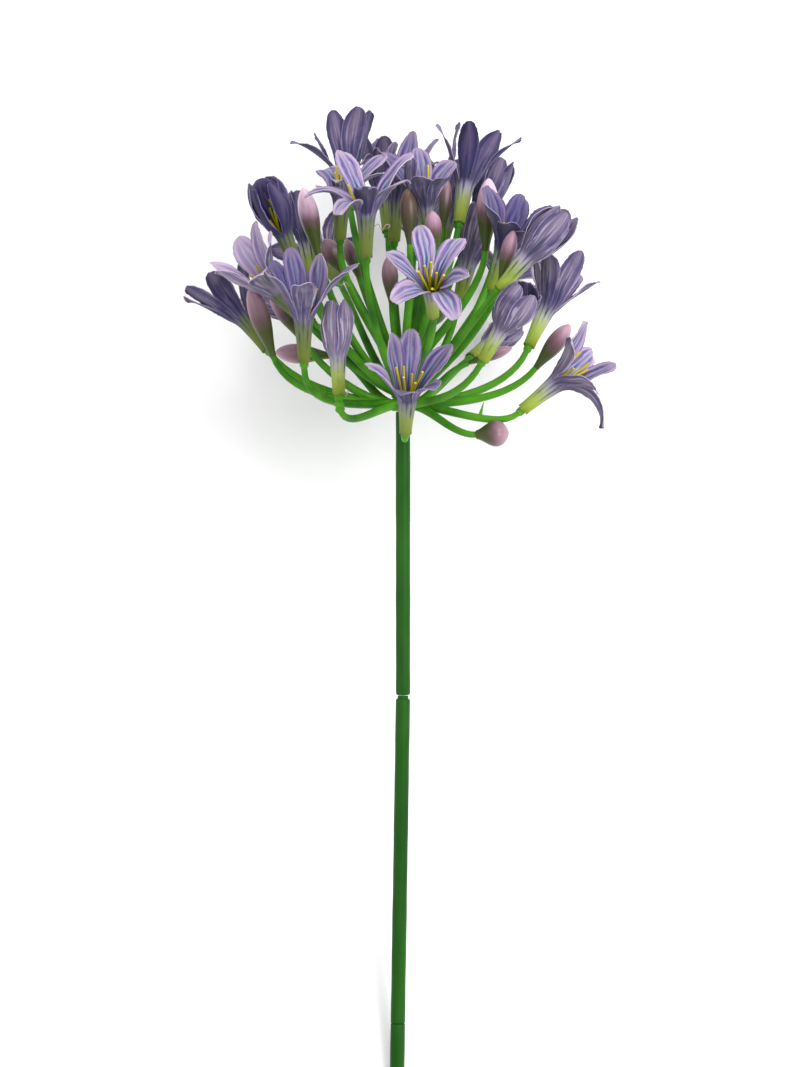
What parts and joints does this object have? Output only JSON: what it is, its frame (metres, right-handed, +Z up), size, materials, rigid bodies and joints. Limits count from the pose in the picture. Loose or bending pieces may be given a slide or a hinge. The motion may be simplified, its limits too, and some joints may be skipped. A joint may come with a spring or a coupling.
{
  "type": "agapanthus flower head",
  "caption": "Artificial agapanthus flower head on a long jointed stem, lilac fabric florets and mauve buds on curved green stalks, lying down.",
  "frame": {"origin": "centre of the bounding box's underside, on the surface that the spray lies on", "axes": "+Z up from the surface, +Y from the cut end of the stem towards the flowers, +X to the right when the flowers point away"},
  "size_m": [0.1961, 0.4381, 0.1722],
  "materials": {
    "stem_green": "satin moulded plastic, dark green, with faint lines along it",
    "stalk_green": "satin moulded plastic, leaf green",
    "lilac_fabric": "printed polyester, lilac with blue-violet stripes and a yellow-green tube",
    "stamen_yellow": "soft moulded plastic, yellow",
    "bud_mauve": "moulded plastic, glossy, mauve shading to olive green at the base"
  },
  "bodies": {
    "root": {"stem_upper": "stem_green", "stem_middle": "stem_green", "stem_lower": "stem_green", "stalk_whorl_lower": "stalk_green", "stalk_whorl_middle": "stalk_green", "stalk_whorl_upper": "stalk_green", "corolla_01": "lilac_fabric", "corolla_02": "lilac_fabric", "corolla_03": "lilac_fabric", "corolla_04": "lilac_fabric", "corolla_05": "lilac_fabric", "corolla_06": "lilac_fabric", "corolla_07": "lilac_fabric", "corolla_08": "lilac_fabric", "corolla_09": "lilac_fabric", "corolla_10": "lilac_fabric", "corolla_11": "lilac_fabric", "corolla_12": "lilac_fabric", "corolla_13": "lilac_fabric", "corolla_14": "lilac_fabric", "corolla_15": "lilac_fabric", "corolla_16": "lilac_fabric", "corolla_17": "lilac_fabric", "corolla_18": "lilac_fabric", "corolla_19": "lilac_fabric", "corolla_20": "lilac_fabric", "corolla_21": "lilac_fabric", "corolla_22": "lilac_fabric", "corolla_23": "lilac_fabric", "corolla_24": "lilac_fabric", "corolla_25": "lilac_fabric", "corolla_26": "lilac_fabric", "corolla_27": "lilac_fabric", "corolla_28": "lilac_fabric", "stamens_02": "stamen_yellow", "stamens_06": "stamen_yellow", "stamens_08": "stamen_yellow", "stamens_10": "stamen_yellow", "stamens_11": "stamen_yellow", "stamens_15": "stamen_yellow", "stamens_21": "stamen_yellow", "bud_01": "bud_mauve", "bud_02": "bud_mauve", "bud_03": "bud_mauve", "bud_04": "bud_mauve", "bud_05": "bud_mauve", "bud_06": "bud_mauve", "bud_07": "bud_mauve", "bud_08": "bud_mauve", "bud_09": "bud_mauve", "bud_10": "bud_mauve", "bud_11": "bud_mauve", "bud_12": "bud_mauve", "bud_13": "bud_mauve", "bud_14": "bud_mauve", "bud_15": "bud_mauve", "bud_16": "bud_mauve", "bud_17": "bud_mauve", "bud_18": "bud_mauve", "bud_19": "bud_mauve"}
  },
  "joints": []
}
